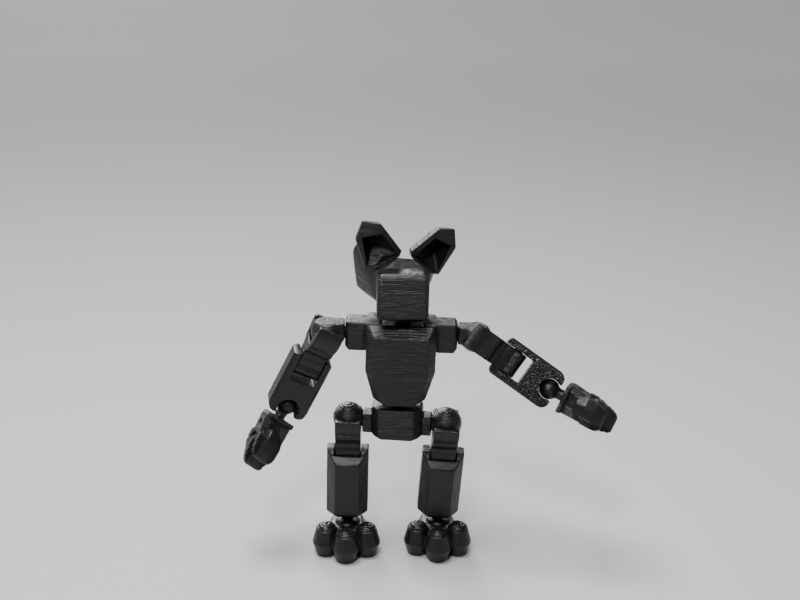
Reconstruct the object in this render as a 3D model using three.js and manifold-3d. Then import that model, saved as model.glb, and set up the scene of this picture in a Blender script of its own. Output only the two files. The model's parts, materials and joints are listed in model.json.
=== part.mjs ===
// Posable ball-jointed robot figure with an animal head. Millimetres, +Z up, the face looks along -Y.
// "left" and "right" are the figure's own sides: left is +X. Every link is modelled straight, with its joint at
// its own origin and the next joint along -Z, and is then placed by the joint angles of the standing pose.
import * as THREE from "three";
import { ConvexGeometry } from "three/addons/geometries/ConvexGeometry.js";
import { mergeVertices } from "three/addons/utils/BufferGeometryUtils.js";
import Module from "manifold-3d";

// ---- driving dimensions -------------------------------------------------------------------------------------
const GAP = 0.3; // running clearance between neighbours
const BALL_R = 5.35; // shoulder and hip balls
const NECK_R = 2.9; // shoulder and hip necks
const SMALL_BALL_R = 3.5; // wrist and ankle balls
const SMALL_NECK_R = 1.9;
const SPINE_BALL_R = 4.0; // neck and waist balls
const SPINE_NECK_R = 2.2;
const PEG_R = 2.0; // pegs of the studs, in bores with GAP round them
const PEG_BULB_R = 2.45; // snap bulb at the end of each peg
const BORE_R = PEG_R + GAP;
const POCKET_R = PEG_BULB_R + GAP;
const PIN_R = 1.5; // elbow and knee pins
const PIN_IN = 1.1; // how far each pin goes into a prong's blind hole
const FLAT_UP = 4.0; // flat on the shoulder studs, above the ball's centre

const BAR_W = 8.5; // upper arm and thigh
const BAR_L = 15.0; // ball centre to hinge pin
const CLIP_R = 7.6; // outside of the large clips
const LEG_CLIP = [7, 7], ARM_CLIP = [28, 9]; // degrees past the ball's equator, front and back

const FORK_GAP = 9.1; // between the prongs
const FOREARM_W = 14.4;
const FOREARM_D = 8.6;
const FOREARM_L = 16.0; // elbow pin to wrist ball
const SHIN_W = 14.6;
const SHIN_D = 13.0;
const SHIN_L = 19.0; // knee pin to ankle ball
const ANKLE_Z = 15.5; // ankle ball above the sole

const HIP_X = 17.0; // hip balls from the pelvis's centre
const PELVIS_W = 17.5, PELVIS_D = 12.4, PELVIS_UP = 6.3, PELVIS_DOWN = 5.2;
const BOSS_X = 11.9; // outer face of the hip bosses
const WAIST_X = 0.4, WAIST_Z = 12.3; // waist ball above the hip line
const SHOULDER_X = 25.1, SHOULDER_Z = 19.7; // shoulder balls from the waist ball
const BLOCK_X = 18.9; // outer face of the shoulder blocks
const NECK_Z = 31.8; // neck ball above the waist ball

// standing pose, degrees
const POSE = {
  pelvis: [-0.3, 0, 50], pelvisYaw: -5, pelvisRoll: 0.4,
  waistTwist: 5.4, torsoLean: 0.5, torsoRoll: 0.9,
  neckTwist: 6, headTilt: 2, skullYaw: 5.7, skullRoll: 6.8, skullTilt: -2.4, muzzleYaw: -1.6, muzzleRoll: -1.2,
  left: { arm: [-55.6, -1.7, 15], elbow: 13.7, hand: [-9, -10, -9.5], leg: [3.0, 5.5] },
  right: { arm: [26, 4.7, 9], elbow: 6, hand: [12, -23, -2.3], leg: [0.3, -2.4] },
};

// ---- geometry helpers ---------------------------------------------------------------------------------------
const wasm = await Module();
wasm.setup();
const rad = THREE.MathUtils.degToRad;

// a three.js geometry as a solid
function S(g) {
  const clean = g.index ? g.toNonIndexed() : g.clone();
  clean.deleteAttribute("normal");
  clean.deleteAttribute("uv");
  const m = mergeVertices(clean, 1e-4);
  const s = new wasm.Manifold(new wasm.Mesh({
    numProp: 3,
    vertProperties: new Float32Array(m.attributes.position.array),
    triVerts: new Uint32Array(m.index.array),
  }));
  if (s.volume() <= 0) throw new Error("inside out");
  return s;
}
// a solid as a flat-shaded three.js geometry
function G(s) {
  const m = s.getMesh();
  const g = new THREE.BufferGeometry();
  const p = new Float32Array(m.numVert * 3);
  for (let i = 0; i < m.numVert; i++)
    for (let k = 0; k < 3; k++) p[3 * i + k] = m.vertProperties[i * m.numProp + k];
  g.setAttribute("position", new THREE.BufferAttribute(p, 3));
  g.setIndex(new THREE.BufferAttribute(new Uint32Array(m.triVerts), 1));
  const flat = g.toNonIndexed();
  flat.computeVertexNormals();
  return flat;
}
const at = (g, x, y, z) => g.translate(x, y, z);
const box = (x0, x1, y0, y1, z0, z1) =>
  S(at(new THREE.BoxGeometry(x1 - x0, y1 - y0, z1 - z0), (x0 + x1) / 2, (y0 + y1) / 2, (z0 + z1) / 2));
const ball = (r, x = 0, y = 0, z = 0, n = 32) => S(at(new THREE.SphereGeometry(r, n, n / 2).rotateX(Math.PI / 2), x, y, z));
const rodX = (r, x0, x1, y = 0, z = 0, n = 28) =>
  S(at(new THREE.CylinderGeometry(r, r, x1 - x0, n).rotateZ(Math.PI / 2), (x0 + x1) / 2, y, z));
const rodY = (r, y0, y1, x = 0, z = 0, n = 28) => S(at(new THREE.CylinderGeometry(r, r, y1 - y0, n), x, (y0 + y1) / 2, z));
const rodZ = (r, z0, z1, x = 0, y = 0, n = 28) =>
  S(at(new THREE.CylinderGeometry(r, r, z1 - z0, n).rotateX(Math.PI / 2), x, y, (z0 + z1) / 2));
const coneZ = (r0, r1, z0, z1, x = 0, y = 0, n = 28) =>
  S(at(new THREE.CylinderGeometry(r1, r0, z1 - z0, n).rotateX(Math.PI / 2), x, y, (z0 + z1) / 2));
const hull = (pts) => S(new ConvexGeometry(pts.map((p) => new THREE.Vector3(...p))));
// a closed outline of (y, z) points pushed along X
function slabX(pts, x0, x1) {
  const shape = new THREE.Shape(pts.map(([y, z]) => new THREE.Vector2(y, z)));
  const g = new THREE.ExtrudeGeometry(shape, { depth: x1 - x0, bevelEnabled: false });
  g.applyMatrix4(new THREE.Matrix4().set(0, 0, 1, x0, 1, 0, 0, 0, 0, 1, 0, 0, 0, 0, 0, 1));
  return S(g);
}
// a closed outline of (x, z) points pushed along Y
function slabY(pts, y0, y1) {
  const shape = new THREE.Shape(pts.map(([x, z]) => new THREE.Vector2(x, z)));
  const g = new THREE.ExtrudeGeometry(shape, { depth: y1 - y0, bevelEnabled: false });
  g.rotateX(Math.PI / 2);
  return S(at(g, 0, y1, 0));
}
// a closed outline of (x, y) points pushed along Z
function slabZ(pts, z0, z1) {
  const shape = new THREE.Shape(pts.map(([x, y]) => new THREE.Vector2(x, y)));
  return S(at(new THREE.ExtrudeGeometry(shape, { depth: z1 - z0, bevelEnabled: false }), 0, 0, z0));
}
// an (axial, radius) profile turned about X
function turnedX(profile, n = 28) {
  const g = new THREE.LatheGeometry(profile.map(([a, r]) => new THREE.Vector2(r, a)), n);
  return S(g.rotateZ(-Math.PI / 2));
}
// an (axial, radius) profile turned about Z
function turnedZ(profile, n = 24) {
  const g = new THREE.LatheGeometry(profile.map(([a, r]) => new THREE.Vector2(r, a)), n);
  return S(g.rotateX(Math.PI / 2));
}
const octagon = (w, d, cx, cy) => [
  [-w / 2 + cx, -d / 2], [w / 2 - cx, -d / 2], [w / 2, -d / 2 + cy], [w / 2, d / 2 - cy],
  [w / 2 - cx, d / 2], [-w / 2 + cx, d / 2], [-w / 2, d / 2 - cy], [-w / 2, -d / 2 + cy],
];
const all = (first, ...rest) => rest.reduce((a, b) => a.add(b), first);
const cut = (first, ...rest) => rest.reduce((a, b) => a.subtract(b), first);
// the mirror image across X = 0
function mirrored(g) {
  const m = g.clone();
  const p = m.attributes.position.array;
  for (let i = 0; i < p.length; i += 3) p[i] = -p[i];
  for (let i = 0; i < p.length; i += 9)
    for (let k = 0; k < 3; k++) [p[i + 3 + k], p[i + 6 + k]] = [p[i + 6 + k], p[i + 3 + k]];
  m.computeVertexNormals();
  return m;
}

// ---- studs --------------------------------------------------------------------------------------------------
// ball at the origin, neck and peg towards -X; reach is the distance to the face that the neck meets
function sideStud(reach, flat) {
  const profile = [[BALL_R, 0]];
  const a1 = Math.PI - Math.asin(NECK_R / BALL_R);
  for (let i = 1; i <= 14; i++) profile.push([BALL_R * Math.cos((a1 * i) / 14), BALL_R * Math.sin((a1 * i) / 14)]);
  const end = -(reach - GAP);
  profile.push([end, NECK_R], [end, PEG_R], [end - 3.3, PEG_R], [end - 3.7, PEG_BULB_R], [end - 4.4, PEG_BULB_R], [end - 5.0, 1.8], [end - 5.0, 0]);
  const s = turnedX(profile.reverse());
  return flat ? cut(s, box(end - 0.01, BALL_R + 1, -8, 8, FLAT_UP, 8)) : s;
}
// the hole that such a stud's peg turns in, from a face at x = face, on the +X side
const pegHoleX = (face, y = 0, z = 0) =>
  all(rodX(BORE_R, face - 4.2, face + 1, y, z), rodX(POCKET_R, face - 5.4, face - 3.0, y, z));
// ball at the origin, peg towards -Z
function spineStud(reach) {
  const profile = [[SPINE_BALL_R, 0]];
  const a1 = Math.PI - Math.asin(SPINE_NECK_R / SPINE_BALL_R);
  for (let i = 1; i <= 12; i++)
    profile.push([SPINE_BALL_R * Math.cos((a1 * i) / 12), SPINE_BALL_R * Math.sin((a1 * i) / 12)]);
  const end = -(reach - GAP);
  profile.push([end, SPINE_NECK_R + 0.6], [end, PEG_R], [end - 3.3, PEG_R], [end - 3.7, PEG_BULB_R], [end - 4.4, PEG_BULB_R], [end - 5.0, 1.8], [end - 5.0, 0]);
  return turnedZ(profile.reverse());
}
const pegHoleZ = (face) => all(rodZ(BORE_R, face - 4.2, face + 1), rodZ(POCKET_R, face - 5.4, face - 3.0));

// ---- upper arm and thigh: clip, waisted bar, hinge block ------------------------------------------------------
function bar([front, back]) {
  const arc = (degrees) => Array.from({ length: 9 }, (_, i) => {
    const a = rad(degrees - ((degrees + 34) * i) / 8);
    return [CLIP_R * Math.cos(a), CLIP_R * Math.sin(a)];
  });
  const side = [];
  // rib under the cup, scoop, hinge block, and the end rounded about the pin
  side.push([6.0, -4.7], [6.0, -5.9], [5.6, -6.5], [3.8, -7.8], [3.1, -9.2], [3.1, -10.2], [3.4, -11.4], [3.4, -16.2], [2.9, -17.3], [1.9, -18.15], [0.7, -18.6]);
  const outline = [...arc(back), ...side, ...[...arc(front), ...side].map(([y, z]) => [-y, z]).reverse()];
  const s = slabX(outline, -BAR_W / 2, BAR_W / 2);
  return cut(
    s,
    ball(BALL_R + GAP, 0, 0, 0, 36),
    slabX([[-5.2, 0], [5.2, 0], [5.2, 9], [-5.2, 9]], -6, 6),
    box(2.3, 6, -3.7, 3.7, -5.0, 9),
    box(-6, -2.3, -3.7, 3.7, -5.0, 9),
    rodX(PIN_R + GAP, -6, 6, 0, -BAR_L),
  );
}
const hingePin = () => rodX(PIN_R, -FORK_GAP / 2 - PIN_IN, FORK_GAP / 2 + PIN_IN);
const pinHole = () => rodX(PIN_R + GAP, -FORK_GAP / 2 - PIN_IN - GAP, FORK_GAP / 2 + PIN_IN + GAP);

// ---- forearm: fork, flat body, wrist clip --------------------------------------------------------------------
function forearm() {
  const w = FOREARM_W / 2, d = FOREARM_D / 2, end = -(FOREARM_L + 2.3);
  const half = [[w - 1.0, 4.8], [w - 0.3, 4.4], [w, 3.7], [w, end + 2.6], [w - 0.5, end + 1.3], [w - 1.4, end + 0.4], [w - 2.6, end]];
  const outline = [...half, ...half.map(([x, z]) => [-x, z]).reverse()];
  const plate = slabY(outline, -d, d);
  // long edges are chamfered on both faces
  const trim = slabZ(octagon(FOREARM_W, FOREARM_D, 1.2, 1.2), end - 1, 6);
  return cut(
    plate.intersect(trim),
    slabY([[-FORK_GAP / 2, 6], [-FORK_GAP / 2, -5.4], [-FORK_GAP / 2 + 0.8, -6.2], [FORK_GAP / 2 - 0.8, -6.2], [FORK_GAP / 2, -5.4], [FORK_GAP / 2, 6]], -d - 1, d + 1),
    rodY(SMALL_BALL_R + GAP, -d - 1, d + 1, 0, -FOREARM_L, 32),
    slabY([[-3.0, end - 1], [3.0, end - 1], [3.0, -FOREARM_L - 2.2], [-3.0, -FOREARM_L - 2.2]], -d - 1, d + 1),
    pinHole(),
    box(-3.1, 3.1, -d - 1, d + 1, end - 1, end + 0.6),
  );
}

// ---- shin: fork with a front stop, eight-sided body, ankle clip -----------------------------------------------
function shin() {
  const w = SHIN_W / 2, d = SHIN_D / 2, end = -(SHIN_L + 2.2);
  // the lower edge is chamfered all round
  const trim = hull([[0, end], [1.1, end + 1.1]].flatMap(([k, z]) =>
    octagon(SHIN_W - 2.2 + 2 * k, SHIN_D - 2.2 + 2 * k, 2.6 + 0.55 * k, 3.4 + 0.55 * k).map(([x, y]) => [x, y, z]))
    .concat(octagon(SHIN_W, SHIN_D, 3.2, 4.0).map(([x, y]) => [x, y, 4.0])));
  const body = slabZ(octagon(SHIN_W, SHIN_D, 3.2, 4.0), end, 4.0).intersect(trim);
  return cut(
    body,
    // prongs: rounded tips, set back from the front and the back of the body
    slabX([[-9, -0.5], [-6.5, -0.5], [-4.2, 1.8], [-4.2, 2.4], [-3.4, 3.4], [-2.2, 4.0], [-2.2, 9], [-9, 9]], -9, 9),
    slabX([[9, -3.5], [6.5, -3.5], [4.2, 0.6], [4.2, 2.4], [3.4, 3.4], [2.2, 4.0], [2.2, 9], [9, 9]], -9, 9),
    // the slot stops behind the front wall and runs out at the back
    slabX([[-3.9, 9], [-3.9, -2.6], [-2.6, -4.0], [0, -4.4], [3, -5.0], [9, -6.6], [9, 9]], -FORK_GAP / 2, FORK_GAP / 2),
    box(-FORK_GAP / 2, FORK_GAP / 2, -5, 9, 1.8, 9),
    pinHole(),
    // ankle socket, open below
    ball(SMALL_BALL_R + GAP, 0, 0, -SHIN_L, 32),
    coneZ(4.0, 3.0, end - 1, -SHIN_L - 1.6),
  );
}

// ---- foot ---------------------------------------------------------------------------------------------------
const TOE = [[-7.1, -6.6], [0, -10.8], [7.1, -6.6]];
function toe(x, y) {
  const p = [[0, 0], [0, 3.5], [0.5, 3.7], [4.8, 4.9], [10.4, 3.15], [11.0, 2.8], [11.5, 2.1], [12.0, 1.0], [12.2, 0]];
  return S(at(new THREE.LatheGeometry(p.map(([a, r]) => new THREE.Vector2(r, a)), 28).rotateX(Math.PI / 2), x, y, -ANKLE_Z));
}
function foot() {
  const top = 9.6 - ANKLE_Z;
  const pad = (grow, z) => [[-8.2 - grow, -6, z], [-7.0 - grow, 6.5 + grow, z], [-4.0, 9.2 + grow, z], [4.0, 9.2 + grow, z], [7.0 + grow, 6.5 + grow, z], [8.2 + grow, -6, z]];
  return all(
    ball(SMALL_BALL_R, 0, 0, 0, 28),
    rodZ(SMALL_NECK_R, top - 1, -2, 0, 0, 24),
    coneZ(4.6, 3.2, top - 1.2, top + 0.5, 0, 0),
    hull([...pad(-1.2, -ANKLE_Z), ...pad(0.3, 4.2 - ANKLE_Z), ...pad(-1.8, top - 0.8)]),
    hull([[-5, -9, -ANKLE_Z], [5, -9, -ANKLE_Z], [-5, -9, 8.2 - ANKLE_Z], [5, -9, 8.2 - ANKLE_Z], [-6, -4, -ANKLE_Z], [6, -4, -ANKLE_Z], [-6, -4, 8.6 - ANKLE_Z], [6, -4, 8.6 - ANKLE_Z]]),
    ...TOE.map(([x, y]) => toe(x, y)),
  );
}

// ---- hand: its back faces +X, the fingers curl towards -X ------------------------------------------------------
function finger(x, y, z, length, r) {
  const ring = (k, h, dx) => Array.from({ length: 8 }, (_, i) => {
    const a = Math.PI / 8 + (i * Math.PI) / 4;
    return [x + dx + k * r * 1.28 * Math.cos(a), y + k * r * Math.sin(a), z + h];
  });
  return hull([...ring(0.55, 0, 0.3), ...ring(1, -length * 0.3, 0), ...ring(0.98, -length * 0.66, -0.7), ...ring(0.66, -length, -1.2)]);
}
function hand() {
  return cut(
    all(
      ball(SMALL_BALL_R, 0, 0, 0, 28),
      rodZ(SMALL_NECK_R, -5.4, -2, 0, 0, 24),
      hull([[-5.2, -4.4, -6.9], [4.4, -4.4, -6.9], [5.3, -3.6, -6.9], [5.3, 3.6, -6.9], [4.4, 4.4, -6.9], [-5.2, 4.4, -6.9],
        [-5.2, -4.4, -5.2], [4.0, -4.4, -5.2], [4.8, -3.6, -5.2], [4.8, 3.6, -5.2], [4.0, 4.4, -5.2], [-5.2, 4.4, -5.2]]),
      hull([[5.3, -3.6, -6.8], [5.3, 3.6, -6.8], [3.0, -4.2, -6.8], [3.0, 4.2, -6.8], [4.2, -4.6, -13.6], [4.2, 4.6, -13.6], [1.0, -4.6, -14.0], [1.0, 4.6, -14.0]]),
      hull([[3.4, -2.6, -6.8], [3.4, 2.6, -6.8], [-5.0, -3.2, -6.8], [-5.0, 3.2, -6.8], [3.0, -4.4, -15], [3.0, 4.4, -15], [-4.9, -4.4, -15], [-4.9, 4.4, -15]]),
      finger(0, -4.7, -10.2, 11.0, 3.8),
      finger(0, 4.7, -10.2, 11.0, 3.8),
      finger(0.1, 0, -12.6, 12.0, 3.7),
    ),
    box(2.2, 7, -1.0, 1.0, -10.6, -8.6),
  );
}

// ---- pelvis: origin midway between the hip balls --------------------------------------------------------------
function pelvis() {
  const w = PELVIS_W / 2, d = PELVIS_D / 2;
  const ring = (gx, gy, z) => octagon(PELVIS_W - 2 * gx, PELVIS_D - 2 * gy, 2.75 - gx * 0.4, 2.75 - gy * 0.4).map(([x, y]) => [x, y, z]);
  const core = hull([...ring(1.0, 0.2, -PELVIS_DOWN), ...ring(0, 0, -PELVIS_DOWN + 1.2), ...ring(0, 0, PELVIS_UP - 0.6), ...ring(0.6, 0.6, PELVIS_UP)]);
  const bosses = box(-BOSS_X, BOSS_X, -2.9, 2.9, -4.2, 2.7);
  return cut(
    all(core, bosses),
    pegHoleX(BOSS_X),
    S(G(pegHoleX(BOSS_X)).rotateZ(Math.PI)),
    S(G(pegHoleZ(PELVIS_UP)).translate(WAIST_X, 0, 0)),
  );
}

// ---- torso: origin at the waist ball --------------------------------------------------------------------------
function torso() {
  const top = 24.6, chestY = -9;
  // chest
  const ring = (half, front, back, cham, z) => [
    [-half + cham, front, z], [half - cham, front, z], [half, front + cham, z], [half, back - cham, z],
    [half - cham, back, z], [-half + cham, back, z], [-half, back - cham, z], [-half, front + cham, z],
  ];
  const chest = hull([
    ...ring(11.8, -5.2, 7.2, 1.0, top), ...ring(11.8, chestY, 8.0, 2.7, top - 3.2), ...ring(11.8, chestY, 8.0, 2.7, 8.6), ...ring(8.9, -8.4, 6.8, 2.4, -1.6), ...ring(5.6, -7.8, 6.2, 1.6, -3.7),
  ]);
  const blocks = slabY([[-18.9, 16.3], [-17.6, 14.9], [-12.6, 14.9], [12.6, 14.9], [17.6, 14.9], [18.9, 16.3], [18.9, 24.2], [18.1, 25.0], [-18.1, 25.0], [-18.9, 24.2]], -4.2, 3.8)
    .intersect(slabZ([[-17.7, -4.2], [17.7, -4.2], [18.9, -3.0], [18.9, 2.6], [17.7, 3.8], [-17.7, 3.8], [-18.9, 2.6], [-18.9, -3.0]], 10, 30));
  return cut(
    all(chest, blocks),
    // grooves between chest and shoulder blocks
    box(11.8, 12.3, -6, -3.9, 10, 23.4), box(-12.3, -11.8, -6, -3.9, 10, 23.4),
    pegHoleX(BLOCK_X, 0, SHOULDER_Z),
    S(G(pegHoleX(BLOCK_X)).rotateZ(Math.PI).translate(0, 0, SHOULDER_Z)),
    // waist socket, open below
    ball(SPINE_BALL_R + GAP, 0, 0, 0, 28),
    coneZ(4.6, 3.4, -5, -1.6),
    // shallow seat under the head, and the neck bore
    box(-7.2, 7.2, -4.4, 3.0, 24.1, 26),
    S(G(pegHoleZ(24.1))),
  );
}

// ---- head: origin at the neck ball, 3.2 mm above the underside of the muzzle -----------------------------------
const HEAD_DOWN = 3.2;
const MUZZLE_W = 17.0, MUZZLE_H = 16.3, MUZZLE_FRONT = -10.6;
function skull() {
  const z = (v) => v - HEAD_DOWN;
  const points = (list, sides = [1, -1]) => sides.flatMap((k) => list.map(([x, y, h]) => [k * x, y, z(h)]));
  const crown = hull(points([
    [7.4, -4.5, 0.6], [7.8, -4.5, 14.0], [3.0, 1, 16.7], [8.6, 2, 13.4], [5.5, 12, 13.0], [6, 19, 10.5],
    [6, 18, 0.5], [6.5, 9, -1.4], [7.2, -3.0, -0.4], [9.5, 3, 9],
  ]));
  const cheek = (k) => hull(points([
    [8.4, 2, 13.2], [9.5, 3, 9], [7.2, -2, 1], [14.6, 12, 18.2], [15.6, 14, 14], [14.4, 14, 9], [13.5, 14, 4.5], [12.5, 14, 1.2],
    [9, 13, 0], [13, 19, 10.5], [11, 19, 4], [6, 18, 0.5], [5.5, 12, 12.6], [6, 19, 10.5], [6.5, 9, -1.0],
  ], [k]));
  const s = all(crown, cheek(1), cheek(-1));
  return cut(s, ball(SPINE_BALL_R + GAP + 0.1, 0.75, 0, -1.1, 28), coneZ(6.0, 3.6, -HEAD_DOWN - 2.6, -2.4, 0.75, 0));
}
function muzzle(grow = 0) {
  const z = (v) => v - HEAD_DOWN;
  const w = MUZZLE_W / 2 + grow, b = 1.3, y0 = MUZZLE_FRONT - grow, y1 = -4.2 + grow, low = -grow, top = MUZZLE_H + grow;
  const ring = (g, y) => [
    [-w + g + b, y, z(low + g)], [w - g - b, y, z(low + g)], [w - g, y, z(low + g + b)], [w - g, y, z(top - g - b)],
    [w - g - b, y, z(top - g)], [-w + g + b, y, z(top - g)], [-w + g, y, z(top - g - b)], [-w + g, y, z(low + g + b)],
  ];
  return hull([...ring(1.2, y0), ...ring(0, y0 + 1.2), ...ring(0, y1)]);
}
// the left (+X) ear: a faceted cup open to the front
const EAR = [9.9, 19.0]; // its middle, x and height above the muzzle's underside
function ear() {
  const z = (v) => v - HEAD_DOWN;
  const rim = [[15.7, 27.4], [9.8, 27.3], [1.6, 18.8], [2.0, 16.8], [9.8, 11.6], [12.7, 11.0], [17.2, 20.9]];
  const [cx, cz] = EAR;
  const scaled = (k, dx, dz, y) => rim.map(([x, zz]) => [cx + dx + (x - cx) * k, y(x, zz), z(cz + dz + (zz - cz) * k)]);
  const front = (x) => (x > 11 ? 3.2 : 1.6);
  const outer = hull([...scaled(1, 0, 0, front), ...scaled(0.97, 0, -0.2, () => 6.0), ...scaled(0.68, -0.1, -1.2, () => 11.0)]);
  // the cup is a skewed notch: a wide outer wall and a steep inner one meet in a slanting crease
  const mouth = [[9.0, 24.0], [15.2, 21.6], [12.0, 12.2], [9.7, 12.6], [2.9, 17.3]];
  const inner = hull([...[-1, 3.4].flatMap((y) => mouth.map(([x, zz]) => [x, y, z(zz)])), [11.4, 8.6, z(20.2)], [10.4, 8.4, z(18.6)], [7.2, 5.2, z(15.4)]]);
  return [cut(outer, inner), outer];
}

// ---- assembly -----------------------------------------------------------------------------------------------
const root = new THREE.Group();
root.name = "posable_robot_figure";
const paint = { color: 0x262726, roughness: 0.62, metalness: 0.0 };
function mesh(name, geometry, parent, tone = 0) {
  const m = new THREE.Mesh(geometry, new THREE.MeshStandardMaterial({ ...paint }));
  m.material.color.offsetHSL(0, 0, tone);
  m.name = name;
  parent.add(m);
  return m;
}
function group(name, parent, position, ...turns) {
  const g = new THREE.Group();
  g.name = name;
  g.position.set(...position);
  for (const [axis, degrees] of turns) g["rotate" + axis](rad(degrees));
  parent.add(g);
  return g;
}

const upperArmG = G(bar(ARM_CLIP)), thighG = G(bar(LEG_CLIP)), forearmG = G(forearm()), shinG = G(shin()), footG = G(foot()), handG = G(hand());
const [earSolid, earFilled] = ear(), skullSolid = skull(), muzzleSolid = muzzle();
const shoulderStudG = G(sideStud(SHOULDER_X - BLOCK_X, true)), hipStudG = G(sideStud(HIP_X - BOSS_X, false));
const pinG = G(hingePin());
// the skull stays clear of the ears by the gap that a slightly larger ear leaves
const earGrown = S(G(earFilled).translate(-EAR[0], -6, -EAR[1] + HEAD_DOWN).scale(1.05, 1.08, 1.05).translate(EAR[0], 6, EAR[1] - HEAD_DOWN));
const earG = G(earSolid);

const pelvisGroup = group("pelvis_frame", root, POSE.pelvis, ["Z", POSE.pelvisYaw], ["Y", POSE.pelvisRoll]);
mesh("pelvis", G(pelvis()), pelvisGroup);

const waist = group("waist_twist", pelvisGroup, [WAIST_X, 0, WAIST_Z], ["Z", POSE.waistTwist]);
mesh("waist_stud", G(spineStud(WAIST_Z - PELVIS_UP)), waist);
const torsoGroup = group("waist_bend", waist, [0, 0, 0], ["X", POSE.torsoLean], ["Y", POSE.torsoRoll]);
mesh("torso", G(torso()), torsoGroup);

const neck = group("neck_twist", torsoGroup, [0, 0, NECK_Z], ["Z", POSE.neckTwist]);
mesh("neck_stud", G(spineStud(NECK_Z - 24.1)), neck);
const headGroup = group("head_tilt", neck, [0, 0, 0], ["X", POSE.headTilt]);
const skullGroup = group("skull_frame", headGroup, [-0.75, 0, 1.1], ["Z", POSE.skullYaw], ["Y", POSE.skullRoll], ["X", POSE.skullTilt]);
const muzzleGroup = group("muzzle_frame", headGroup, [-0.65, 0, 0], ["Z", POSE.muzzleYaw], ["Y", POSE.muzzleRoll]);
headGroup.updateMatrixWorld(true);
const muzzleInSkull = skullGroup.matrixWorld.clone().invert().multiply(muzzleGroup.matrixWorld);
const skullG = G(cut(skullSolid, earGrown, S(mirrored(G(earGrown))), S(G(muzzle(GAP)).applyMatrix4(muzzleInSkull))));
mesh("head", skullG, skullGroup);
mesh("muzzle", G(muzzleSolid), muzzleGroup);
mesh("ear_left", earG, skullGroup);
mesh("ear_right", mirrored(earG), skullGroup);

for (const [side, s] of [["left", 1], ["right", -1]]) {
  const pose = POSE[side];
  const own = (g) => (s > 0 ? g : mirrored(g));
  // arm
  const swing = group(`shoulder_swing_${side}`, torsoGroup, [s * SHOULDER_X, 0, SHOULDER_Z]);
  const stud = group(`shoulder_stud_frame_${side}`, swing, [0, 0, 0], ["X", 0]);
  mesh(`shoulder_stud_${side}`, own(shoulderStudG), stud);
  const arm = group(`shoulder_raise_${side}`, swing, [0, 0, 0], ["Y", pose.arm[0]], ["X", pose.arm[1]], ["Z", pose.arm[2]]);
  mesh(`upper_arm_${side}`, upperArmG.clone(), arm);
  const elbow = group(`elbow_${side}`, arm, [0, 0, -BAR_L], ["X", -pose.elbow]);
  mesh(`forearm_${side}`, forearmG.clone(), elbow);
  mesh(`elbow_pin_${side}`, pinG.clone(), elbow, 0.02);
  const wrist = group(`wrist_${side}`, elbow, [0, 0, -FOREARM_L], ["Y", pose.hand[0]], ["X", pose.hand[1]], ["Z", pose.hand[2]]);
  mesh(`hand_${side}`, own(handG), wrist);
  // leg
  const hip = group(`hip_swing_${side}`, pelvisGroup, [s * HIP_X, 0, 0]);
  mesh(`hip_stud_${side}`, own(hipStudG), hip);
  const leg = group(`hip_spread_${side}`, hip, [0, 0, 0], ["Z", -POSE.pelvisYaw], ["Y", pose.leg[0]], ["X", pose.leg[1]]);
  mesh(`thigh_${side}`, thighG.clone(), leg);
  const knee = group(`knee_${side}`, leg, [0, 0, -BAR_L]);
  mesh(`shin_${side}`, shinG.clone(), knee);
  mesh(`knee_pin_${side}`, pinG.clone(), knee, 0.02);
  const ankle = group(`ankle_${side}`, knee, [0, 0, -SHIN_L]);
  // the foot stands level whatever the leg's lean
  root.updateMatrixWorld(true);
  ankle.quaternion.copy(knee.getWorldQuaternion(new THREE.Quaternion()).invert());
  mesh(`foot_${side}`, own(footG), ankle);
}

// both soles reach the ground, and the origin is the middle of the whole figure's footprint
root.updateMatrixWorld(true);
const bounds = new THREE.Box3().setFromObject(root, true);
pelvisGroup.position.x -= (bounds.min.x + bounds.max.x) / 2;
pelvisGroup.position.y -= (bounds.min.y + bounds.max.y) / 2;
pelvisGroup.position.z -= bounds.min.z;
root.updateMatrixWorld(true);

export default root;
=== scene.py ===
import json
import math

import bmesh
import bpy
import numpy as np
from mathutils import Matrix, Vector


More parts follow.
